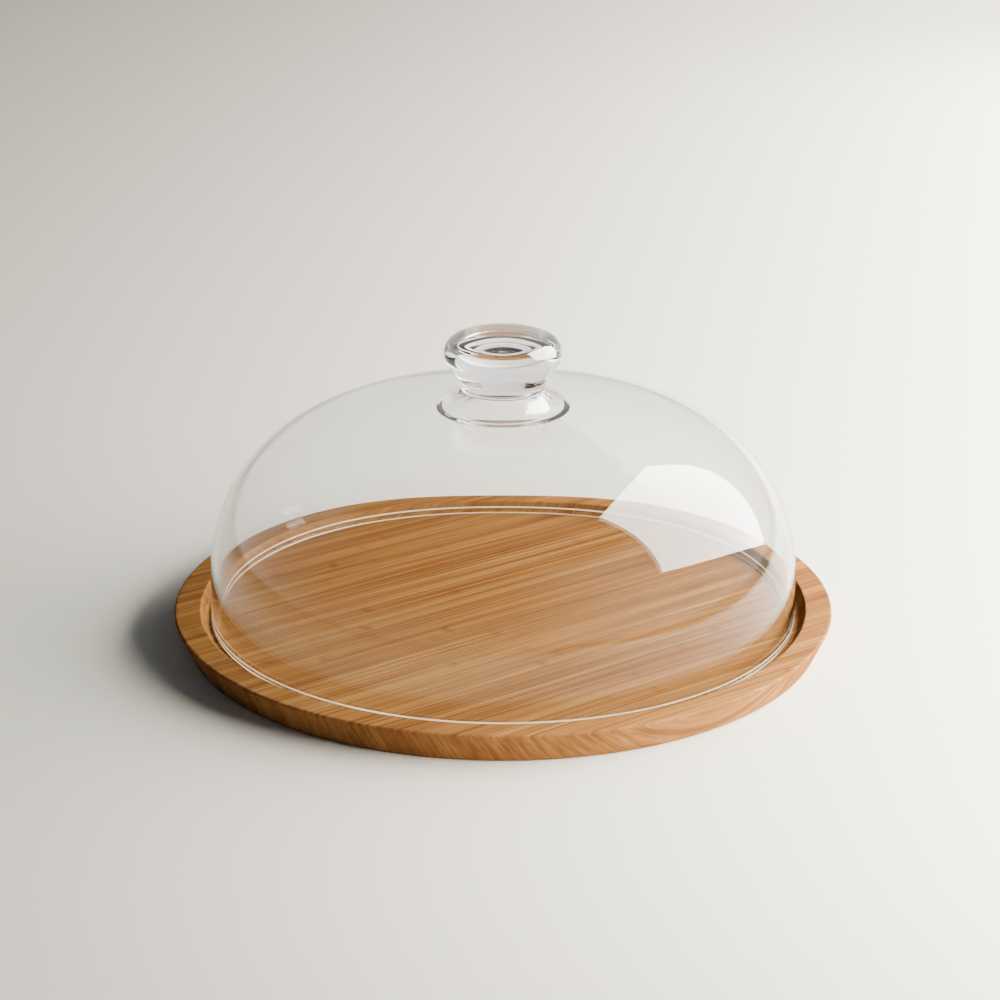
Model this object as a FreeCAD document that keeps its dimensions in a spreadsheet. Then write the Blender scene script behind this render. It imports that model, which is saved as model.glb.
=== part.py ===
# Glass dome with a knob, standing in the recess of a round board of edge-glued bamboo strips.
# Millimetres, +Z up. The origin is the centre of the board's underside, on the axis that the
# board, the dome and the knob share. The bamboo runs at grain_angle from +X towards +Y.
import FreeCAD, Part
import Sketcher
import math
import os

V = FreeCAD.Vector

doc = FreeCAD.newDocument("GlassDomeOnBoard")

# ---------------------------------------------------------------- driving dimensions
SIZES = [
    # board, as turned from the glued-up panel
    ("board_radius", 150.0, "top edge of the board"),
    ("base_radius", 143.2, "foot of the tapered side, before its rounding"),
    ("board_thick", 14.5, "board thickness"),
    ("recess_radius", 137.6, "edge of the recess in the rim's top face"),
    ("recess_foot", 135.4, "foot of the recess wall, before the cove"),
    ("recess_depth", 5.0, "rim's top face down to the recess floor"),
    ("cove_radius", 2.5, "cove between the recess wall and floor"),
    ("foot_round", 2.5, "rounding under the side"),
    ("lip_round", 1.0, "rounding of the rim's outer edge"),
    ("recess_round", 0.9, "rounding of the rim's inner edge"),
    ("strip_pitch", 5.66, "width of one bamboo strip"),
    ("strip_shift", -1.0, "first glue line beside the board's centre, across the grain"),
    ("grain_angle", 37.0, "direction of the strips, degrees from +X towards +Y"),
    # glass dome: tangent arcs outside, the same centres inside
    ("glass_radius", 132.9, "outside radius of the dome at its foot"),
    ("glass_wall", 3.0, "wall of the dome"),
    ("wall_arc", 628.0, "outside arc of the side wall"),
    ("shoulder_arc", 70.7, "outside arc of the shoulder"),
    ("crown_arc", 335.1, "outside arc of the crown"),
    ("dome_top", 110.1, "height where the crown's arc meets the axis, above the table"),
    ("stand_gap", 0.05, "air between the dome's foot and the recess floor"),
    # hollow collar that the crown rises into, and that carries the knob
    ("collar_radius", 19.0, "waist of the collar"),
    ("flare_arc", 9.0, "hollow arc from the crown up to the waist"),
    ("collar_wall", 4.0, "wall of the collar"),
    ("step_inner", 27.2, "inside ring where the collar's thicker glass ends"),
    ("step_outer", 28.0, "the same ring, on the crown's inside"),
    ("seat_height", 116.0, "collar's top face, which the knob is fused to"),
    # solid glass knob
    ("hollow_rise", 4.5, "rise of the hollow under the knob"),
    ("neck_arc", 6.0, "hollow arc from the waist into the cone"),
    ("edge_arc", 7.5, "arc from the cone to the widest part"),
    ("bulb_radius", 26.4, "widest part of the knob"),
    ("bulb_height", 132.5, "height of the widest part above the table"),
    ("bulb_arc", 7.4, "arc from the widest part over to the top"),
    ("top_arc", 62.0, "slightly domed top of the knob"),
]

sheet = doc.addObject("Spreadsheet::Sheet", "Sizes")
for row, (alias, value, note) in enumerate(SIZES, start=1):
    sheet.set("A%d" % row, alias)
    sheet.set("B%d" % row, repr(value))
    sheet.set("C%d" % row, note)
    sheet.setAlias("B%d" % row, alias)
FORMULAS = [
    ("collar_height", "dome_top - crown_arc + sqrt((crown_arc + flare_arc) ^ 2 - (collar_radius + flare_arc) ^ 2)",
     "height of the waist, where the flare's arc is upright"),
    ("hollow_radius", "collar_radius + flare_arc - sqrt((flare_arc + collar_wall) ^ 2 - (collar_height - seat_height) ^ 2)",
     "opening in the collar's top face"),
]
for row, (alias, formula, note) in enumerate(FORMULAS, start=len(SIZES) + 1):
    sheet.set("A%d" % row, alias)
    sheet.set("B%d" % row, "=" + formula)
    sheet.set("C%d" % row, note)
    sheet.setAlias("B%d" % row, alias)
    doc.recompute()
doc.recompute()
S = dict((a, v) for a, v, _ in SIZES)
for alias, _, _ in FORMULAS:
    S[alias] = float(sheet.get(alias))


def plane_of(body, role):
    """The body's own origin plane with this role."""
    for feature in body.Origin.OriginFeatures:
        if getattr(feature, "Role", "") == role:
            return feature
    raise RuntimeError("no " + role)


def new_sketch(body, name):
    sketch = body.newObject("Sketcher::SketchObject", name)
    sketch.AttachmentSupport = [(plane_of(body, "XZ_Plane"), "")]
    sketch.MapMode = "FlatFace"
    return sketch


def line(sketch, p, q):
    return sketch.addGeometry(Part.LineSegment(V(p[0], p[1], 0), V(q[0], q[1], 0)), False)


def arc(sketch, centre, radius, start, end):
    """Counter-clockwise arc from the angle start to the angle end, in radians."""
    circle = Part.Circle(V(centre[0], centre[1], 0), V(0, 0, 1), radius)
    return sketch.addGeometry(Part.ArcOfCircle(circle, start, end), False)


def named(sketch, constraint, name, expression):
    """A driving dimension whose value comes from the sheet."""
    index = sketch.addConstraint(constraint)
    sketch.renameConstraint(index, name)
    sketch.setExpression("Constraints." + name, expression)
    return index


def join(sketch, a, end_a, b, end_b):
    sketch.addConstraint(Sketcher.Constraint("Coincident", a, end_a, b, end_b))


def smooth(sketch, a, end_a, b, end_b):
    """The two ends meet and share their tangent."""
    sketch.addConstraint(Sketcher.Constraint("Tangent", a, end_a, b, end_b))


def turned(body, sketch, name):
    """The sketch turned a full turn about the body's Z axis."""
    revolution = body.newObject("PartDesign::Revolution", name)
    revolution.Profile = sketch
    revolution.ReferenceAxis = (sketch, ["V_Axis"])
    revolution.Angle = 360.0
    body.Tip = revolution
    return revolution


def meeting(c1, d1, c3, d3):
    """The point at distance d1 from c1 and d3 from c3 that lies up and outwards."""
    ex, ey = c3[0] - c1[0], c3[1] - c1[1]
    span = math.hypot(ex, ey)
    along = (d1 * d1 - d3 * d3 + span * span) / (2 * span)
    off = math.sqrt(d1 * d1 - along * along)
    ex, ey = ex / span, ey / span
    ends = [(c1[0] + along * ex - k * off * ey, c1[1] + along * ey + k * off * ex) for k in (1, -1)]
    return max(ends, key=lambda c: c[0] + c[1])


def angle_of(centre, point):
    return math.atan2(point[1] - centre[1], point[0] - centre[0])


# ---------------------------------------------------------------- board blank
# The whole board as turned, before it is told apart into its strips: tapered side,
# flat rim, and a recess with a sloping wall and a cove for the dome to stand in.
blank = doc.addObject("PartDesign::Body", "BoardBlank")
blank.Label = "board_blank"
sk = new_sketch(blank, "BoardProfile")
corners = [
    (0.0, 0.0),
    (S["base_radius"], 0.0),
    (S["board_radius"], S["board_thick"]),
    (S["recess_radius"], S["board_thick"]),
    (S["recess_foot"], S["board_thick"] - S["recess_depth"]),
    (0.0, S["board_thick"] - S["recess_depth"]),
]
edges = [line(sk, corners[i], corners[(i + 1) % 6]) for i in range(6)]
for i in range(6):
    join(sk, edges[i], 2, edges[(i + 1) % 6], 1)
join(sk, edges[0], 1, -1, 1)
sk.addConstraint(Sketcher.Constraint("Horizontal", edges[0]))
sk.addConstraint(Sketcher.Constraint("Horizontal", edges[2]))
sk.addConstraint(Sketcher.Constraint("Horizontal", edges[4]))
sk.addConstraint(Sketcher.Constraint("Vertical", edges[5]))
C = Sketcher.Constraint
named(sk, C("DistanceX", -1, 1, edges[0], 2, S["base_radius"]), "foot_r", "Sizes.base_radius")
named(sk, C("DistanceX", -1, 1, edges[1], 2, S["board_radius"]), "top_r", "Sizes.board_radius")
named(sk, C("DistanceY", -1, 1, edges[1], 2, S["board_thick"]), "thick", "Sizes.board_thick")
named(sk, C("DistanceX", -1, 1, edges[2], 2, S["recess_radius"]), "recess_r", "Sizes.recess_radius")
named(sk, C("DistanceX", -1, 1, edges[3], 2, S["recess_foot"]), "recess_f", "Sizes.recess_foot")
named(sk, C("DistanceY", edges[3], 2, edges[2], 2, S["recess_depth"]), "recess_d", "Sizes.recess_depth")
doc.recompute()
blank_turned = turned(blank, sk, "BoardTurned")
doc.recompute()


def ring_edges(shape, radius, height):
    """Names of the circular edges with this radius at this height."""
    found = []
    for k, edge in enumerate(shape.Edges, start=1):
        if isinstance(edge.Curve, Part.Circle):
            if abs(edge.Curve.Radius - radius) < 1e-3 and abs(edge.Curve.Center.z - height) < 1e-3:
                found.append("Edge%d" % k)
    if not found:
        raise RuntimeError("no ring edge of radius %.3f at %.3f" % (radius, height))
    return found


def round_ring(body, name, radius, height, size, expression):
    base = body.Tip
    fillet = body.newObject("PartDesign::Fillet", name)
    fillet.Base = (base, ring_edges(base.Shape, radius, height))
    fillet.Radius = size
    fillet.setExpression("Radius", expression)
    body.Tip = fillet
    doc.recompute()
    return fillet


round_ring(blank, "FootRound", S["base_radius"], 0.0, S["foot_round"], "Sizes.foot_round")
round_ring(blank, "LipRound", S["board_radius"], S["board_thick"], S["lip_round"], "Sizes.lip_round")
round_ring(blank, "RecessRound", S["recess_radius"], S["board_thick"], S["recess_round"], "Sizes.recess_round")
round_ring(blank, "RecessCove", S["recess_foot"], S["board_thick"] - S["recess_depth"], S["cove_radius"], "Sizes.cove_radius")

# ---------------------------------------------------------------- bamboo strips
# Each strip is the board's material between two upright glue lines along the grain. Fifty
# strips have the same width, and the outermost two take what is left of the disc.
parts = []
COUNT = 52
GRAIN = math.radians(S["grain_angle"])
for i in range(COUNT):
    if i == 0:
        across = "-Sizes.board_radius - 10"
        offset = -S["board_radius"] - 10
    else:
        across = "Sizes.strip_shift + (%d) * Sizes.strip_pitch" % (i - COUNT // 2)
        offset = S["strip_shift"] + (i - COUNT // 2) * S["strip_pitch"]
    if i == 0:
        width = "Sizes.board_radius + 10 + Sizes.strip_shift - %d * Sizes.strip_pitch" % (COUNT // 2 - 1)
    elif i == COUNT - 1:
        width = "Sizes.board_radius + 10 - Sizes.strip_shift - %d * Sizes.strip_pitch" % (COUNT // 2 - 1)
    else:
        width = "Sizes.strip_pitch"
    slab = doc.addObject("Part::Box", "StripSlab%02d" % (i + 1))
    slab.Label = "strip_slab_%02d" % (i + 1)
    slab.Length = 2.4 * S["board_radius"]
    slab.Width = S["strip_pitch"]
    slab.Height = S["board_thick"] + 10
    slab.Placement = FreeCAD.Placement(
        V(-1.2 * S["board_radius"] * math.cos(GRAIN) - offset * math.sin(GRAIN),
          -1.2 * S["board_radius"] * math.sin(GRAIN) + offset * math.cos(GRAIN), -5.0),
        FreeCAD.Rotation(V(0, 0, 1), S["grain_angle"]))
    slab.setExpression("Length", "2.4 * Sizes.board_radius")
    slab.setExpression("Width", width)
    slab.setExpression("Height", "Sizes.board_thick + 10")
    slab.setExpression("Placement.Base.x",
                       "-1.2 * Sizes.board_radius * cos(Sizes.grain_angle) - (%s) * sin(Sizes.grain_angle)" % across)
    slab.setExpression("Placement.Base.y",
                       "-1.2 * Sizes.board_radius * sin(Sizes.grain_angle) + (%s) * cos(Sizes.grain_angle)" % across)
    slab.setExpression("Placement.Rotation.Angle", "Sizes.grain_angle")
    strip = doc.addObject("Part::Common", "Strip%02d" % (i + 1))
    strip.Base = blank
    strip.Tool = slab
    strip.Label = "bamboo_strip_%02d" % (i + 1)
    parts.append(strip)
doc.recompute()

# ---------------------------------------------------------------- glass dome
# One blown wall: nearly upright at the foot, which is fire-polished round, then shoulder and
# crown. The crown rises into a short hollow collar, open at the top, that the knob closes.
wall = S["glass_wall"]
foot = S["board_thick"] - S["recess_depth"] + S["stand_gap"] + wall / 2
seat = S["seat_height"]
half = math.pi / 2
c1 = (S["glass_radius"] - S["wall_arc"], foot)
c3 = (0.0, S["dome_top"] - S["crown_arc"])
c2 = meeting(c1, S["wall_arc"] - S["shoulder_arc"], c3, S["crown_arc"] - S["shoulder_arc"])
cf = (S["collar_radius"] + S["flare_arc"], S["collar_height"])
a1 = angle_of(c1, c2)
a3 = angle_of(c3, c2)
touch = angle_of(c3, cf)                      # where the crown turns into the flare
flare = S["flare_arc"]
thick = S["flare_arc"] + S["collar_wall"]
out_seat = cf[0] - math.sqrt(flare ** 2 - (cf[1] - seat) ** 2)
in_seat = S["hollow_radius"]
step_in = (S["step_inner"], cf[1] - math.sqrt(thick ** 2 - (cf[0] - S["step_inner"]) ** 2))
in_crown = S["crown_arc"] - wall
step_out = (S["step_outer"], c3[1] + math.sqrt(in_crown ** 2 - S["step_outer"] ** 2))


def turn_of(centre, point):
    """Angle of the point about the centre, from 0 to a full turn."""
    return angle_of(centre, point) % (2 * math.pi)


dome = doc.addObject("PartDesign::Body", "GlassDome")
dome.Label = "glass_dome"
sk = new_sketch(dome, "DomeProfile")
o1 = arc(sk, c1, S["wall_arc"], 0.0, a1)
o2 = arc(sk, c2, S["shoulder_arc"], a1, a3)
o3 = arc(sk, c3, S["crown_arc"], a3, touch)
fo = arc(sk, cf, flare, turn_of(cf, (out_seat, seat)), touch + math.pi)
rim = line(sk, (out_seat, seat), (in_seat, seat))
fi = arc(sk, cf, thick, turn_of(cf, (in_seat, seat)), turn_of(cf, step_in))
step = line(sk, step_in, step_out)
i3 = arc(sk, c3, in_crown, a3, angle_of(c3, step_out))
i2 = arc(sk, c2, S["shoulder_arc"] - wall, a1, a3)
i1 = arc(sk, c1, S["wall_arc"] - wall, 0.0, a1)
lip = arc(sk, (S["glass_radius"] - wall / 2, foot), wall / 2, math.pi, 2 * math.pi)
smooth(sk, o1, 2, o2, 1)
smooth(sk, o2, 2, o3, 1)
smooth(sk, o3, 2, fo, 2)
join(sk, fo, 1, rim, 1)
join(sk, rim, 2, fi, 1)
join(sk, fi, 2, step, 1)
join(sk, step, 2, i3, 2)
smooth(sk, i3, 1, i2, 2)
smooth(sk, i2, 1, i1, 2)
join(sk, i1, 1, lip, 1)
join(sk, lip, 2, o1, 1)
join(sk, i1, 3, o1, 3)
join(sk, i2, 3, o2, 3)
join(sk, i3, 3, o3, 3)
join(sk, fi, 3, fo, 3)
sk.addConstraint(C("Horizontal", rim))
sk.addConstraint(C("PointOnObject", o3, 3, -2))
foot_x = "Sizes.board_thick - Sizes.recess_depth + Sizes.stand_gap + Sizes.glass_wall / 2"
named(sk, C("Radius", o1, S["wall_arc"]), "wall_r", "Sizes.wall_arc")
named(sk, C("Radius", o2, S["shoulder_arc"]), "shoulder_r", "Sizes.shoulder_arc")
named(sk, C("Radius", o3, S["crown_arc"]), "crown_r", "Sizes.crown_arc")
named(sk, C("Radius", i1, S["wall_arc"] - wall), "wall_in", "Sizes.wall_arc - Sizes.glass_wall")
named(sk, C("Radius", fo, flare), "flare_r", "Sizes.flare_arc")
named(sk, C("Radius", fi, thick), "flare_in", "Sizes.flare_arc + Sizes.collar_wall")
named(sk, C("DistanceX", -1, 1, o1, 1, S["glass_radius"]), "foot_r", "Sizes.glass_radius")
named(sk, C("DistanceY", -1, 1, o1, 1, foot), "foot_z", foot_x)
named(sk, C("DistanceY", -1, 1, o1, 3, foot), "wall_centre", foot_x)
named(sk, C("DistanceY", -1, 1, lip, 3, foot), "lip_centre", foot_x)
named(sk, C("DistanceY", o3, 3, -1, 1, -c3[1]), "crown_centre", "Sizes.crown_arc - Sizes.dome_top")
named(sk, C("DistanceX", -1, 1, fo, 3, cf[0]), "flare_centre", "Sizes.collar_radius + Sizes.flare_arc")
named(sk, C("DistanceY", -1, 1, rim, 1, seat), "seat_z", "Sizes.seat_height")
named(sk, C("DistanceX", -1, 1, step, 1, step_in[0]), "step_a", "Sizes.step_inner")
named(sk, C("DistanceX", -1, 1, step, 2, step_out[0]), "step_b", "Sizes.step_outer")
doc.recompute()
turned(dome, sk, "DomeTurned")
doc.recompute()
parts.append(dome)

# ---------------------------------------------------------------- glass knob
# Solid, shaped like a cork: a short waist, a cone that widens upwards, a round edge and a
# slightly domed top. Underneath it is hollow like the inside of a bowl, above the collar.
zb = S["bulb_height"]
cn = (S["collar_radius"] + S["neck_arc"], S["collar_height"])
ce = (S["bulb_radius"] - S["edge_arc"], zb)
cb = (S["bulb_radius"] - S["bulb_arc"], zb)
ct = (0.0, zb - math.sqrt((S["top_arc"] - S["bulb_arc"]) ** 2 - cb[0] ** 2))
top_end = angle_of(ct, cb)
knob_top = ct[1] + S["top_arc"]
rise = S["hollow_rise"]
hollow_arc = (in_seat ** 2 + rise ** 2) / (2 * rise)
ch = (0.0, seat + rise - hollow_arc)
# the cone's line touches the neck's arc on one side and the edge's arc on the other
gap = (ce[0] - cn[0], ce[1] - cn[1])
span = math.hypot(*gap)
tilt = math.atan2(gap[1], gap[0]) + math.acos((S["neck_arc"] + S["edge_arc"]) / span)
cone_a = (cn[0] + S["neck_arc"] * math.cos(tilt), cn[1] + S["neck_arc"] * math.sin(tilt))
cone_b = (ce[0] - S["edge_arc"] * math.cos(tilt), ce[1] - S["edge_arc"] * math.sin(tilt))

knob = doc.addObject("PartDesign::Body", "GlassKnob")
knob.Label = "glass_knob"
sk = new_sketch(knob, "KnobProfile")
base = line(sk, (in_seat, seat), (out_seat, seat))
waist = arc(sk, cf, flare, math.pi, turn_of(cf, (out_seat, seat)))
neck = arc(sk, cn, S["neck_arc"], tilt, math.pi)
cone = line(sk, cone_a, cone_b)
edge = arc(sk, ce, S["edge_arc"], angle_of(ce, cone_b), 0.0)
bulb = arc(sk, cb, S["bulb_arc"], 0.0, top_end)
face = arc(sk, ct, S["top_arc"], top_end, half)
core = line(sk, (0.0, knob_top), (0.0, seat + rise))
bowl = arc(sk, ch, hollow_arc, angle_of(ch, (in_seat, seat)), half)
join(sk, base, 2, waist, 2)
smooth(sk, waist, 1, neck, 2)
smooth(sk, neck, 1, cone, 1)
smooth(sk, cone, 2, edge, 1)
smooth(sk, edge, 2, bulb, 1)
smooth(sk, bulb, 2, face, 1)
join(sk, face, 2, core, 1)
join(sk, core, 2, bowl, 2)
join(sk, bowl, 1, base, 1)
sk.addConstraint(C("Horizontal", base))
sk.addConstraint(C("PointOnObject", face, 2, -2))
sk.addConstraint(C("PointOnObject", core, 2, -2))
sk.addConstraint(C("PointOnObject", face, 3, -2))
sk.addConstraint(C("PointOnObject", bowl, 3, -2))
named(sk, C("DistanceY", -1, 1, base, 1, seat), "seat_z", "Sizes.seat_height")
named(sk, C("DistanceX", -1, 1, base, 1, in_seat), "hollow_r", "Sizes.hollow_radius")
named(sk, C("DistanceX", -1, 1, waist, 3, cf[0]), "waist_x", "Sizes.collar_radius + Sizes.flare_arc")
named(sk, C("DistanceY", -1, 1, waist, 3, cf[1]), "waist_z", "Sizes.collar_height")
named(sk, C("Radius", waist, flare), "waist_r", "Sizes.flare_arc")
named(sk, C("Radius", neck, S["neck_arc"]), "neck_r", "Sizes.neck_arc")
named(sk, C("DistanceY", -1, 1, neck, 3, cn[1]), "neck_z", "Sizes.collar_height")
named(sk, C("Radius", edge, S["edge_arc"]), "edge_r", "Sizes.edge_arc")
named(sk, C("DistanceY", -1, 1, edge, 3, zb), "edge_z", "Sizes.bulb_height")
named(sk, C("Radius", bulb, S["bulb_arc"]), "bulb_a", "Sizes.bulb_arc")
named(sk, C("DistanceX", -1, 1, bulb, 1, S["bulb_radius"]), "bulb_r", "Sizes.bulb_radius")
named(sk, C("DistanceY", -1, 1, bulb, 3, zb), "bulb_z", "Sizes.bulb_height")
named(sk, C("Radius", face, S["top_arc"]), "top_r", "Sizes.top_arc")
named(sk, C("DistanceY", -1, 1, bowl, 2, seat + rise), "bowl_z", "Sizes.seat_height + Sizes.hollow_rise")
doc.recompute()
turned(knob, sk, "KnobTurned")
doc.recompute()
parts.append(knob)

# ---------------------------------------------------------------- check and write
doc.recompute()
for obj in doc.Objects:
    bad = [s for s in obj.State if s in ("Invalid", "Error")]
    if bad:
        raise RuntimeError("%s is %s" % (obj.Label, ", ".join(bad)))
total = 0.0
for part in parts:
    shape = part.Shape
    if shape.isNull() or not shape.isValid() or len(shape.Solids) != 1:
        raise RuntimeError("%s has no single valid solid" % part.Label)
    if part.Label.startswith("bamboo"):
        total += shape.Volume
if abs(total - blank.Shape.Volume) > 1e-4 * blank.Shape.Volume:
    raise RuntimeError("the strips don't add up to the board")

os.makedirs("parts", exist_ok=True)
for part in parts:
    part.Shape.exportStep(os.path.join("parts", part.Label + ".step"))
print("wrote", len(parts), "parts; board", round(blank.Shape.Volume / 1000, 1), "cm3, dome",
      round(dome.Shape.Volume / 1000, 1), "cm3, knob", round(knob.Shape.Volume / 1000, 1), "cm3")
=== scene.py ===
import math
import bpy
import bmesh
from mathutils import Vector, Matrix


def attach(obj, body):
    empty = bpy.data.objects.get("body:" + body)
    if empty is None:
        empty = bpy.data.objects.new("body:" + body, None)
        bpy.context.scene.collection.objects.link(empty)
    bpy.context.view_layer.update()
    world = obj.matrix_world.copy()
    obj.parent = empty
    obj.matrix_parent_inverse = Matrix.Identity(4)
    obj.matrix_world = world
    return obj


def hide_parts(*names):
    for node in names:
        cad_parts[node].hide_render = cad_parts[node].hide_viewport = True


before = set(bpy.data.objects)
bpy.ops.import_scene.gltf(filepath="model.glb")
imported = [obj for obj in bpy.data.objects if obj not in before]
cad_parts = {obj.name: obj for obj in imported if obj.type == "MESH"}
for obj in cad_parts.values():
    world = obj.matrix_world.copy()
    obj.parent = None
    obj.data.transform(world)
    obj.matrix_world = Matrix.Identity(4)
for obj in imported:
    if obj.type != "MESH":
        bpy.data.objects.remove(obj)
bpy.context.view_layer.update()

MM = 0.001

# ------------------------------------------------------------------ camera
cam_data = bpy.data.cameras.new("camera")
cam_data.lens = 110.0
cam_data.sensor_width = 36.0
cam_data.sensor_fit = "HORIZONTAL"
cam_data.clip_start = 0.01
cam = bpy.data.objects.new("camera", cam_data)
cam.location = (-0.0014, -1.2938, 0.5421)
cam.rotation_euler = (math.radians(90 - 20.334), 0, 0)
bpy.context.scene.collection.objects.link(cam)
bpy.context.scene.camera = cam


# ------------------------------------------------------------------ node helpers
def material(name):
    mat = bpy.data.materials.new(name)
    mat.use_nodes = True
    mat.node_tree.nodes.clear()
    return mat


class Nodes:
    """Short calls for building one material's nodes."""

    def __init__(self, mat):
        self.t = mat.node_tree

    def new(self, kind, **inputs):
        node = self.t.nodes.new(kind)
        for key, value in inputs.items():
            if hasattr(node, key) and key not in [i.name for i in node.inputs]:
                setattr(node, key, value)
        return node

    def link(self, a, b):
        self.t.links.new(a, b)

    def put(self, socket, value):
        if hasattr(value, "is_linked") or hasattr(value, "links"):
            self.t.links.new(value, socket)
        else:
            socket.default_value = value

    def math(self, op, a, b=0.0, c=None, clamp=False):
        node = self.t.nodes.new("ShaderNodeMath")
        node.operation = op
        node.use_clamp = clamp
        self.put(node.inputs[0], a)
        self.put(node.inputs[1], b)
        if c is not None:
            self.put(node.inputs[2], c)
        return node.outputs[0]

    def mix(self, factor, a, b, blend="MIX"):
        node = self.t.nodes.new("ShaderNodeMix")
        node.data_type = "RGBA"
        node.blend_type = blend
        node.clamp_factor = True
        self.put(node.inputs[0], factor)
        self.put(node.inputs[6], a)
        self.put(node.inputs[7], b)
        return node.outputs[2]

    def ramp(self, value, stops, interpolation="LINEAR"):
        node = self.t.nodes.new("ShaderNodeValToRGB")
        node.color_ramp.interpolation = interpolation
        ramp = node.color_ramp
        while len(ramp.elements) > 1:
            ramp.elements.remove(ramp.elements[-1])
        ramp.elements[0].position = stops[0][0]
        ramp.elements[0].color = stops[0][1]
        for pos, colour in stops[1:]:
            element = ramp.elements.new(pos)
            element.color = colour
        self.put(node.inputs[0], value)
        return node.outputs[0]

    def noise(self, vector, scale=1.0, detail=2.0, rough=0.5, dims="3D", w=None, distortion=0.0):
        node = self.t.nodes.new("ShaderNodeTexNoise")
        node.noise_dimensions = dims
        if vector is not None:
            self.put(node.inputs["Vector"], vector)
        if w is not None:
            self.put(node.inputs["W"], w)
        node.inputs["Scale"].default_value = scale
        node.inputs["Detail"].default_value = detail
        node.inputs["Roughness"].default_value = rough
        node.inputs["Distortion"].default_value = distortion
        return node.outputs[0]

    def white(self, w):
        node = self.t.nodes.new("ShaderNodeTexWhiteNoise")
        node.noise_dimensions = "1D"
        self.put(node.inputs["W"], w)
        return node.outputs[0]

    def combine(self, x, y, z):
        node = self.t.nodes.new("ShaderNodeCombineXYZ")
        self.put(node.inputs[0], x)
        self.put(node.inputs[1], y)
        self.put(node.inputs[2], z)
        return node.outputs[0]


def srgb(r, g, b, a=1.0):
    def lin(c):
        c /= 255.0
        return c / 12.92 if c <= 0.04045 else ((c + 0.055) / 1.055) ** 2.4
    return (lin(r), lin(g), lin(b), a)


# ------------------------------------------------------------------ bamboo
PITCH = 5.66 * MM
SHIFT = -1.0 * MM
GRAIN = math.radians(37.0)


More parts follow.
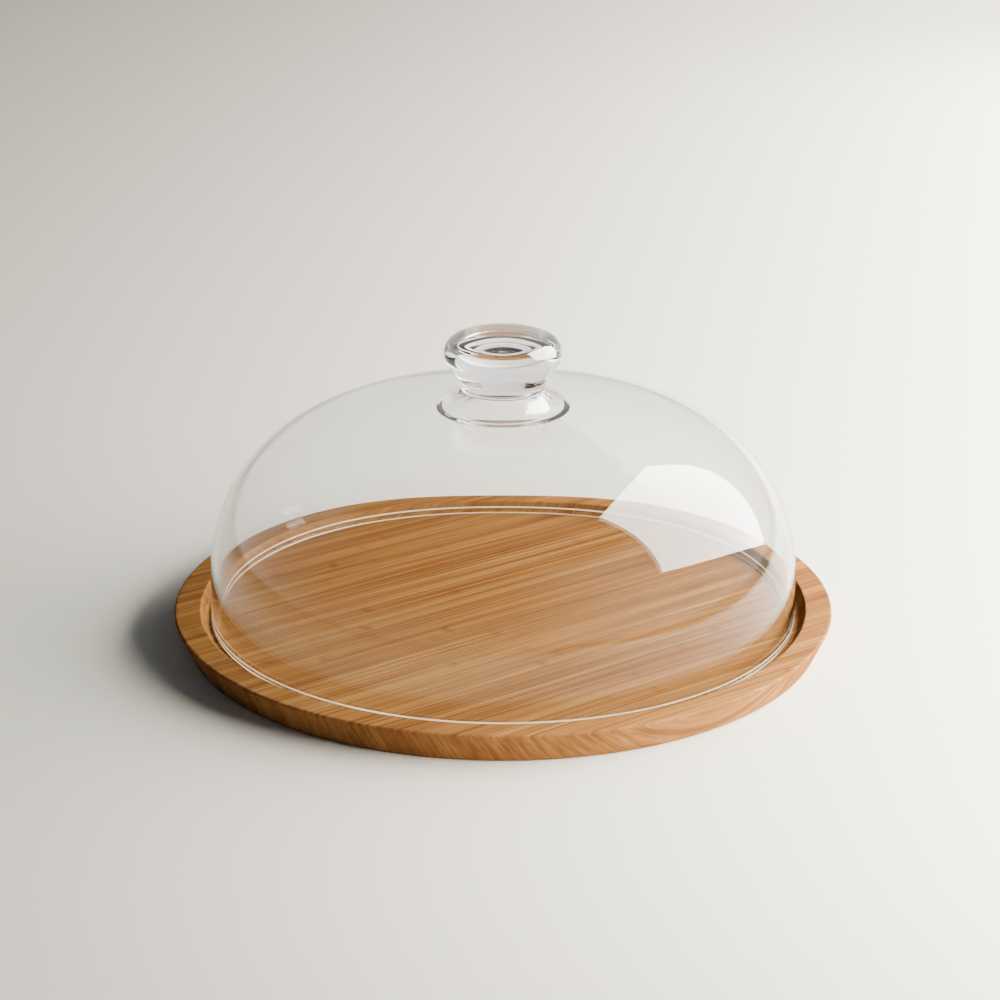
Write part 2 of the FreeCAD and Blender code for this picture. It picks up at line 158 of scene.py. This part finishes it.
def bamboo():
    mat = material("bamboo")
    n = Nodes(mat)
    coord = n.new("ShaderNodeTexCoord")
    turn = n.new("ShaderNodeMapping")
    turn.vector_type = "POINT"
    turn.inputs["Rotation"].default_value = (0, 0, -GRAIN)
    n.link(coord.outputs["Object"], turn.inputs["Vector"])
    split = n.new("ShaderNodeSeparateXYZ")
    n.link(turn.outputs[0], split.inputs[0])
    u, v, z = split.outputs           # along the grain, across it, up

    # glue lines wander by a few hundredths of a millimetre
    wander = n.noise(n.combine(n.math("MULTIPLY", u, 22.0), n.math("MULTIPLY", v, 90.0), 0.0), 1.0, 1.0, 0.5)
    lane = n.math("DIVIDE", n.math("SUBTRACT", v, SHIFT), PITCH)
    lane = n.math("MULTIPLY_ADD", n.math("SUBTRACT", wander, 0.5), 0.05, lane)
    index = n.math("FLOOR", lane)
    inside = n.math("FRACT", lane)    # 0 to 1 across one strip
    tone = n.white(n.math("ADD", index, 11.3))
    tone2 = n.white(n.math("ADD", index, 57.9))
    tone3 = n.white(n.math("ADD", index, 131.7))

    def grain(along, across, up, detail, rough, step):
        """Noise stretched along the grain; each strip takes its own stretch of it."""
        return n.noise(n.combine(n.math("MULTIPLY", n.math("MULTIPLY_ADD", tone2, step, u), along),
                                 n.math("MULTIPLY", v, across), n.math("MULTIPLY", z, up)), 1.0, detail, rough)

    broad = grain(6.0, 150.0, 60.0, 2.0, 0.5, 0.5)
    bundle = grain(8.0, 720.0, 45.0, 3.0, 0.55, 3.0)
    fibre = grain(13.0, 1900.0, 140.0, 2.0, 0.6, 3.0)
    pores = grain(60.0, 5200.0, 500.0, 1.0, 0.5, 3.0)

    base = n.ramp(tone, [(0.0, WOOD_DARK), (0.5, WOOD_MID), (1.0, WOOD_PALE)])
    # slow changes over the board, in both tone and warmth
    colour = n.mix(n.ramp(broad, [(0.3, (0, 0, 0, 1)), (0.7, (1, 1, 1, 1))]), n.mix(0.35, base, WOOD_RED), n.mix(0.25, base, WOOD_PALE))
    # one side of a strip is denser, so darker, than the other
    lean = n.math("MULTIPLY", n.math("SUBTRACT", inside, 0.5), n.math("SUBTRACT", tone3, 0.5))
    colour = n.mix(n.math("MULTIPLY_ADD", lean, 0.9, 0.0, clamp=True), colour, WOOD_DEEP)
    dark = n.ramp(bundle, [(0.30, (1, 1, 1, 1)), (0.47, (0.22, 0.22, 0.22, 1)), (0.62, (0, 0, 0, 1))])
    colour = n.mix(n.math("MULTIPLY", dark, 0.72), colour, WOOD_DEEP)
    light = n.ramp(bundle, [(0.50, (0, 0, 0, 1)), (0.72, (1, 1, 1, 1))])
    colour = n.mix(n.math("MULTIPLY", light, 0.50), colour, WOOD_PALE)
    swath = n.ramp(grain(4.0, 260.0, 120.0, 2.0, 0.5, 0.8), [(0.36, (1, 1, 1, 1)), (0.60, (0, 0, 0, 1))])
    colour = n.mix(n.math("MULTIPLY", swath, 0.30), colour, WOOD_DEEP)
    hair = n.ramp(fibre, [(0.34, (1, 1, 1, 1)), (0.58, (0, 0, 0, 1))])
    colour = n.mix(n.math("MULTIPLY", hair, 0.52), colour, WOOD_DEEP)
    speck = n.ramp(pores, [(0.26, (1, 1, 1, 1)), (0.40, (0, 0, 0, 1))])
    colour = n.mix(n.math("MULTIPLY", speck, 0.22), colour, WOOD_DEEP)

    # nodes of the cane: a faint short band across one strip, uneven along its edge
    along = n.math("ADD", n.math("DIVIDE", u, 0.215), n.math("MULTIPLY", tone, 7.31))
    along = n.math("ADD", along, n.math("MULTIPLY", n.math("SUBTRACT", bundle, 0.5), 0.035))
    phase = n.math("SUBTRACT", n.math("FRACT", along), 0.5)
    band = n.math("SUBTRACT", 1.0, n.math("MULTIPLY", n.math("ABSOLUTE", phase), 60.0), clamp=True)
    colour = n.mix(n.math("MULTIPLY", band, n.math("MULTIPLY_ADD", tone3, 0.42, 0.10)), colour, WOOD_DEEP)

    # glue lines: thin, faint and of uneven strength
    edge = n.math("ABSOLUTE", n.math("SUBTRACT", inside, 0.5))
    glue = n.math("MULTIPLY_ADD", n.math("SUBTRACT", edge, 0.468), 31.0, 0.0, clamp=True)
    glue = n.math("MULTIPLY", glue, n.math("MULTIPLY_ADD", tone3, 0.26, 0.08))
    colour = n.mix(glue, colour, WOOD_DEEP)

    # end grain: on the side wall the fibre ends show as small dots; the whole side wall is also made darker, which is
    # painted shade
    geo = n.new("ShaderNodeNewGeometry")
    flat = n.new("ShaderNodeVectorMath")
    flat.operation = "DOT_PRODUCT"
    n.link(geo.outputs["Normal"], flat.inputs[0])
    flat.inputs[1].default_value = (math.cos(GRAIN), math.sin(GRAIN), 0.0)
    ends = n.math("ABSOLUTE", flat.outputs["Value"])
    ends = n.math("MULTIPLY", ends, ends)
    dots = n.noise(n.combine(n.math("MULTIPLY", u, 160.0), n.math("MULTIPLY", v, 2600.0), n.math("MULTIPLY", z, 120.0)), 1.0, 2.0, 0.6)
    dot_mask = n.ramp(dots, [(0.36, (1, 1, 1, 1)), (0.52, (0, 0, 0, 1))])
    turned = n.new("ShaderNodeSeparateXYZ")
    n.link(geo.outputs["Normal"], turned.inputs[0])
    wall = n.math("SUBTRACT", 1.0, n.math("ABSOLUTE", turned.outputs[2]))
    # painted shade: every side wall is mixed towards a darker brown, whichever way it faces
    colour = n.mix(n.math("MULTIPLY", wall, 0.66), colour, WOOD_SIDE_SHADE)
    colour = n.mix(n.math("MULTIPLY", ends, n.math("MULTIPLY_ADD", dot_mask, 0.10, 0.22)), colour, WOOD_DEEP)

    shader = n.new("ShaderNodeBsdfPrincipled")
    n.link(colour, shader.inputs["Base Color"])
    rough = n.math("MULTIPLY_ADD", fibre, 0.16, 0.42)
    n.link(rough, shader.inputs["Roughness"])
    shader.inputs["Specular IOR Level"].default_value = 0.0
    height = n.math("ADD", n.math("MULTIPLY", fibre, 0.5), n.math("MULTIPLY", bundle, 0.7))
    height = n.math("SUBTRACT", height, n.math("MULTIPLY", glue, 0.8))
    height = n.math("SUBTRACT", height, n.math("MULTIPLY", speck, 0.3))
    bump = n.new("ShaderNodeBump")
    bump.inputs["Strength"].default_value = 0.30
    bump.inputs["Distance"].default_value = 0.0001
    n.link(height, bump.inputs["Height"])
    n.link(bump.outputs[0], shader.inputs["Normal"])
    out = n.new("ShaderNodeOutputMaterial")
    n.link(shader.outputs[0], out.inputs["Surface"])
    return mat


WOOD_PALE = (0.45, 0.232, 0.076, 1)
WOOD_MID = (0.31, 0.140, 0.041, 1)
WOOD_DARK = (0.24, 0.100, 0.031, 1)
WOOD_RED = (0.28, 0.105, 0.031, 1)
WOOD_DEEP = (0.092, 0.031, 0.013, 1)
# painted shade colour of the side wall
WOOD_SIDE_SHADE = (0.185, 0.080, 0.027, 1)

BAMBOO = bamboo()
for name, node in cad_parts.items():
    if name.startswith("bamboo_strip"):
        for s in node.material_slots:
            s.material = BAMBOO


# ------------------------------------------------------------------ glass
def glass(name, ior):
    mat = material(name)
    n = Nodes(mat)
    coord = n.new("ShaderNodeTexCoord")
    # the faint unevenness of blown glass
    wave = n.noise(coord.outputs["Object"], 14.0, 1.0, 0.4)
    bump = n.new("ShaderNodeBump")
    bump.inputs["Strength"].default_value = 0.25
    bump.inputs["Distance"].default_value = 0.0006
    n.link(wave, bump.inputs["Height"])
    clear = n.new("ShaderNodeBsdfGlass")
    clear.inputs["Color"].default_value = (0.994, 0.998, 0.996, 1)
    clear.inputs["Roughness"].default_value = 0.0
    clear.inputs["IOR"].default_value = ior
    n.link(bump.outputs[0], clear.inputs["Normal"])
    through = n.new("ShaderNodeBsdfTransparent")
    through.inputs["Color"].default_value = (0.88, 0.89, 0.885, 1)
    path = n.new("ShaderNodeLightPath")
    both = n.new("ShaderNodeMixShader")
    n.link(n.math("MAXIMUM", path.outputs["Is Shadow Ray"], path.outputs["Is Diffuse Ray"]), both.inputs[0])
    n.link(clear.outputs[0], both.inputs[1])
    n.link(through.outputs[0], both.inputs[2])
    out = n.new("ShaderNodeOutputMaterial")
    n.link(both.outputs[0], out.inputs["Surface"])
    return mat


GLASS = glass("clear_glass", 1.5)
THIN = glass("thin_glass", 1.3)     # a thin wall bends nothing; this keeps its mirror images soft

def ground_glass_and_highlight():
    """The foot of the dome, where it is ground flat: whitish and rough. The same cream-white material on a thin band
    just above the foot is a painted highlight line.
    """
    mat = material("ground_glass_and_highlight")
    n = Nodes(mat)
    white = n.new("ShaderNodeBsdfPrincipled")
    coord = n.new("ShaderNodeTexCoord")
    grit = n.noise(coord.outputs["Object"], 900.0, 2.0, 0.5)
    n.link(n.ramp(grit, [(0.3, (0.76, 0.68, 0.54, 1)), (0.7, (0.96, 0.88, 0.73, 1))]), white.inputs["Base Color"])
    white.inputs["Roughness"].default_value = 0.35
    glow = n.new("ShaderNodeBsdfTranslucent")
    glow.inputs["Color"].default_value = (0.96, 0.88, 0.74, 1)
    both = n.new("ShaderNodeMixShader")
    both.inputs[0].default_value = 0.55
    n.link(white.outputs[0], both.inputs[1])
    n.link(glow.outputs[0], both.inputs[2])
    out = n.new("ShaderNodeOutputMaterial")
    n.link(both.outputs[0], out.inputs["Surface"])
    return mat


GROUND_AND_HIGHLIGHT = ground_glass_and_highlight()

# the dome's and knob's sizes, as in the CAD model, in millimetres
FLOOR = 9.5
WALL, R_FOOT, R_WALL, R_SHOULDER, R_CROWN, TOP = 3.0, 132.9, 628.0, 70.7, 335.1, 110.1
FOOT = FLOOR + 0.05 + WALL / 2
COLLAR_R, FLARE, COLLAR_WALL, STEP_IN, STEP_OUT, SEAT = 19.0, 9.0, 4.0, 27.2, 28.0, 116.0
RISE, NECK_ARC, EDGE_ARC = 4.5, 6.0, 7.5
HIGHLIGHT_BAND = (12.35, 13.1)      # a thin whitish band round the outside, just above the foot: a painted highlight line
BULB_R, BULB_Z, BULB_ARC, TOP_ARC = 26.4, 132.5, 7.4, 62.0


def meeting(c1, d1, c3, d3):
    ex, ey = c3[0] - c1[0], c3[1] - c1[1]
    span = math.hypot(ex, ey)
    along = (d1 * d1 - d3 * d3 + span * span) / (2 * span)
    off = math.sqrt(max(d1 * d1 - along * along, 0.0))
    ex, ey = ex / span, ey / span
    ends = [(c1[0] + along * ex - k * off * ey, c1[1] + along * ey + k * off * ex) for k in (1, -1)]
    return max(ends, key=lambda c: c[0] + c[1])


def angle(c, p):
    return math.atan2(p[1] - c[1], p[0] - c[0])


def arc(c, radius, start, end, step):
    """Points on an arc, with a chord of about step millimetres."""
    count = max(3, int(math.ceil(abs(end - start) * radius / step)))
    return [(c[0] + radius * math.cos(start + (end - start) * k / count),
             c[1] + radius * math.sin(start + (end - start) * k / count)) for k in range(count + 1)]


def joined(*runs):
    points = []
    for run in runs:
        for p in run:
            if not points or math.hypot(p[0] - points[-1][0], p[1] - points[-1][1]) > 0.02:
                points.append(p)
    return points


def glass_profiles():
    """Outline of the fused glass in the half plane r, z: outside from the foot up over the
    knob to the axis, then inside from the axis down to the foot. The seam of the knob is fused."""
    half = math.pi / 2
    c1 = (R_FOOT - R_WALL, FOOT)
    c3 = (0.0, TOP - R_CROWN)
    c2 = meeting(c1, R_WALL - R_SHOULDER, c3, R_CROWN - R_SHOULDER)
    a1, a3 = angle(c1, c2), angle(c3, c2)
    b0, b1 = (math.asin((z - FOOT) / R_WALL) for z in HIGHLIGHT_BAND)
    cf_x = COLLAR_R + FLARE
    cf = (cf_x, c3[1] + math.sqrt((R_CROWN + FLARE) ** 2 - cf_x ** 2))
    touch = angle(c3, cf)
    cn = (COLLAR_R + NECK_ARC, cf[1])
    ce = (BULB_R - EDGE_ARC, BULB_Z)
    cb = (BULB_R - BULB_ARC, BULB_Z)
    ct = (0.0, BULB_Z - math.sqrt((TOP_ARC - BULB_ARC) ** 2 - cb[0] ** 2))
    top_end = angle(ct, cb)
    gap = (ce[0] - cn[0], ce[1] - cn[1])
    tilt = math.atan2(gap[1], gap[0]) + math.acos((NECK_ARC + EDGE_ARC) / math.hypot(*gap))
    outside = joined(
        arc(c1, R_WALL, 0.0, b0, 2.0),
        arc(c1, R_WALL, b0, b1, 2.0),
        arc(c1, R_WALL, b1, a1, 2.0),
        arc(c2, R_SHOULDER, a1, a3, 1.6),
        arc(c3, R_CROWN, a3, touch, 2.0),
        arc(cf, FLARE, touch + math.pi, math.pi, 0.6),
        arc(cn, NECK_ARC, math.pi, tilt, 0.5),
        arc(ce, EDGE_ARC, tilt - math.pi, 0.0, 0.5),
        arc(cb, BULB_ARC, 0.0, top_end, 0.5),
        arc(ct, TOP_ARC, top_end, half, 1.2),
    )
    thick = FLARE + COLLAR_WALL
    in_crown = R_CROWN - WALL
    in_seat = cf_x - math.sqrt(thick ** 2 - (cf[1] - SEAT) ** 2)
    bowl = (in_seat ** 2 + RISE ** 2) / (2 * RISE)
    ch = (0.0, SEAT + RISE - bowl)
    step_in = (STEP_IN, cf[1] - math.sqrt(thick ** 2 - (cf_x - STEP_IN) ** 2))
    step_out = (STEP_OUT, c3[1] + math.sqrt(in_crown ** 2 - STEP_OUT ** 2))
    in_end = angle(ch, (in_seat, SEAT))
    start = angle(cf, (in_seat, SEAT)) % (2 * math.pi)
    # the bowl runs into the collar with a small soft edge
    inside = joined(
        arc(ch, bowl, half, in_end + 0.9 / bowl, 1.0),
        arc(cf, thick, start + 0.9 / thick, angle(cf, step_in) % (2 * math.pi), 0.5),
        [step_out],
        arc(c3, in_crown, angle(c3, step_out), a3, 2.0),
        arc(c2, R_SHOULDER - WALL, a3, a1, 1.6),
        arc(c1, R_WALL - WALL, a1, 0.0, 2.0),
        arc((R_FOOT - WALL / 2, FOOT), WALL / 2, math.pi, 2 * math.pi, 0.25)[1:-1],
    )
    return outside, inside


def lathe(name, outline, count=256):
    """A closed mesh turned about Z from an outline that starts and ends anywhere; points on the axis become poles."""
    verts, rows = [], []
    for r, z in outline:
        if r < 1e-6:
            rows.append([len(verts)] * count)
            verts.append((0.0, 0.0, z * MM))
        else:
            row = []
            for k in range(count):
                t = 2 * math.pi * k / count
                row.append(len(verts))
                verts.append((r * MM * math.cos(t), r * MM * math.sin(t), z * MM))
            rows.append(row)
    faces = []
    total = len(rows)
    for i in range(total):
        a, b = rows[i], rows[(i + 1) % total]
        if a[0] == a[1] and b[0] == b[1]:
            continue
        for k in range(count):
            m = (k + 1) % count
            if a[0] == a[1]:
                faces.append((a[k], b[m], b[k]))
            elif b[0] == b[1]:
                faces.append((a[k], a[m], b[k]))
            else:
                faces.append((a[k], a[m], b[m], b[k]))
    mesh = bpy.data.meshes.new(name)
    mesh.from_pydata(verts, [], faces)
    mesh.update()
    bm = bmesh.new()
    bm.from_mesh(mesh)
    bmesh.ops.recalc_face_normals(bm, faces=bm.faces)
    bm.to_mesh(mesh)
    bm.free()
    for p in mesh.polygons:
        p.use_smooth = True
    obj = bpy.data.objects.new(name, mesh)
    bpy.context.scene.collection.objects.link(obj)
    return obj


outside, inside = glass_profiles()
cloche = lathe("glass_cloche", outside + inside, 256)
cloche.data.materials.append(GLASS)
cloche.data.materials.append(THIN)
cloche.data.materials.append(GROUND_AND_HIGHLIGHT)
for face in cloche.data.polygons:
    r = math.hypot(face.center.x, face.center.y) / MM
    if r > STEP_OUT + 1.0:
        z = face.center.z / MM
        # the ground foot, and above it the thin band of painted highlight
        foot_or_highlight = z < FOOT - 0.85 or (HIGHLIGHT_BAND[0] < z < HIGHLIGHT_BAND[1] and r > R_FOOT - 0.5)
        face.material_index = 2 if foot_or_highlight else 1
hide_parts("glass_dome", "glass_knob")
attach(cloche, "cover")

# ------------------------------------------------------------------ stage
stage_mat = material("paper")
sn = Nodes(stage_mat)
paper = sn.new("ShaderNodeBsdfPrincipled")
paper.inputs["Base Color"].default_value = (0.86, 0.85, 0.82, 1)
paper.inputs["Roughness"].default_value = 0.9
paper.inputs["Specular IOR Level"].default_value = 0.1
sout = sn.new("ShaderNodeOutputMaterial")
sn.link(paper.outputs[0], sout.inputs["Surface"])


def sweep():
    """A paper floor that curves up far behind the object."""
    profile = [(-4.0, 0.0), (2.6, 0.0)]
    radius = 1.2
    for k in range(1, 17):
        t = math.pi / 2 * k / 16
        profile.append((2.6 + radius * math.sin(t), radius * (1 - math.cos(t))))
    profile.append((3.8, 3.5))
    verts, faces = [], []
    for y, z in profile:
        verts += [(-4.0, y, z), (4.0, y, z)]
    for i in range(len(profile) - 1):
        faces.append((2 * i, 2 * i + 1, 2 * i + 3, 2 * i + 2))
    mesh = bpy.data.meshes.new("floor")
    mesh.from_pydata(verts, [], faces)
    for p in mesh.polygons:
        p.use_smooth = True
    obj = bpy.data.objects.new("floor", mesh)
    obj.data.materials.append(stage_mat)
    bpy.context.scene.collection.objects.link(obj)
    return obj


sweep()


def light(name, centre, across, up, size, power, colour=(1, 1, 1), lights=True, mirrored=True):
    """A rectangular area light from its centre and its two side directions; it shines against across x up."""
    data = bpy.data.lights.new(name, "AREA")
    data.shape = "RECTANGLE"
    data.size, data.size_y = size
    data.energy = power
    data.color = colour
    obj = bpy.data.objects.new(name, data)
    x = Vector(across).normalized()
    back = x.cross(Vector(up)).normalized()
    y = back.cross(x).normalized()
    turn = Matrix((x, y, back)).transposed()
    obj.matrix_world = Matrix.Translation(Vector(centre)) @ turn.to_4x4()
    obj.visible_camera = False
    obj.visible_diffuse = lights
    obj.visible_glossy = mirrored
    obj.visible_transmission = mirrored
    bpy.context.scene.collection.objects.link(obj)
    return obj


def facing(name, centre, towards, size, power, colour=(1, 1, 1), lights=True, mirrored=True):
    back = (Vector(centre) - Vector(towards)).normalized()
    across = Vector((0, 0, 1)).cross(back).normalized()
    return light(name, centre, across, back.cross(across), size, power, colour, lights, mirrored)


WARM = (1.0, 0.93, 0.79)
# a long low strip to the right lights the table and the board; a softbox gives the mirror image in the glass
light("strip", (0.465, 0.40, 0.195), (0.25, 1.7, 0.0), (-0.35, 0.0, 1.0), (1.72, 0.35), 44, WARM, mirrored=False)
facing("strip_end", (0.80, 1.75, 0.30), (0.0, 1.6, 0.0), (0.4, 0.4), 20, WARM, mirrored=False)
light("floor_right", (1.45, 0.3, 0.7), (1.0, 0.0, 0.0), (0.0, 1.0, 0.0), (1.1, 2.6), 24, WARM, mirrored=False)
light("softbox", (0.554, 0.169, 0.608), (0.34, -0.444, -0.829), (-0.181, 0.834, -0.521), (0.807, 0.763), 140, (1.0, 0.96, 0.87), lights=False)


def glowing_card():
    """A round wall that glows by itself and is seen only as a mirror image in the glass: painted light standing in
    for a lit pale wall, bright behind and to the right, fading upwards in front and to the left."""
    mat = material("card")
    n = Nodes(mat)
    geo = n.new("ShaderNodeNewGeometry")
    split = n.new("ShaderNodeSeparateXYZ")
    n.link(geo.outputs["Position"], split.inputs[0])
    x, y, z = split.outputs
    behind = n.math("MULTIPLY_ADD", y, 1 / (2.3 * 0.85), 0.25 / 0.85, clamp=True)
    right = n.math("MULTIPLY_ADD", x, 1 / (2.3 * 0.8), -0.1 / 0.8, clamp=True)
    low = n.math("EXPONENT", n.math("MULTIPLY", z, -1 / 0.55))
    high = n.math("MULTIPLY_ADD", z, -1 / 1.2, 3.4 / 1.2, clamp=True)
    front = n.math("MULTIPLY", n.math("MULTIPLY", low, 0.9), n.math("SUBTRACT", 1.0, behind))
    back = n.math("MULTIPLY", n.math("MULTIPLY", behind, 1.6), high)
    side = n.math("MULTIPLY", n.math("MULTIPLY", right, high), n.math("MULTIPLY_ADD", behind, -0.9, 1.9))
    glow = n.new("ShaderNodeEmission")
    glow.inputs["Color"].default_value = (1.0, 0.965, 0.91, 1)
    n.link(n.math("ADD", front, n.math("ADD", back, side)), glow.inputs["Strength"])
    out = n.new("ShaderNodeOutputMaterial")
    n.link(glow.outputs[0], out.inputs["Surface"])
    mat.cycles.emission_sampling = "NONE"
    verts, faces = [], []
    count = 96
    for z_at in (0.002, 0.5, 1.0, 2.0, 3.4):
        for k in range(count):
            t = 2 * math.pi * k / count
            verts.append((2.3 * math.cos(t), 2.3 * math.sin(t), z_at))
    for i in range(4):
        for k in range(count):
            m = (k + 1) % count
            faces.append((i * count + m, i * count + k, (i + 1) * count + k, (i + 1) * count + m))
    mesh = bpy.data.meshes.new("card")
    mesh.from_pydata(verts, [], faces)
    obj = bpy.data.objects.new("card", mesh)
    obj.data.materials.append(mat)
    bpy.context.scene.collection.objects.link(obj)
    obj.visible_camera = False
    obj.visible_diffuse = False
    obj.visible_shadow = False


glowing_card()
# a small window on the left, for its reflection in the glass
for k, side in enumerate((-0.03, 0.03)):
    facing("pane_%d" % k, (-0.95 + side, 0.38 + side * 2.5, 0.62), (-0.09, -0.07, 0.08), (0.05, 0.16), 0.16, (0.95, 0.98, 1.0), lights=False)
world = bpy.data.worlds.new("studio")
world.use_nodes = True
wn = world.node_tree.nodes
wn["Background"].inputs[0].default_value = (0.88, 0.95, 1.0, 1)
wn["Background"].inputs[1].default_value = 0.08
bpy.context.scene.world = world

bpy.context.view_layer.update()
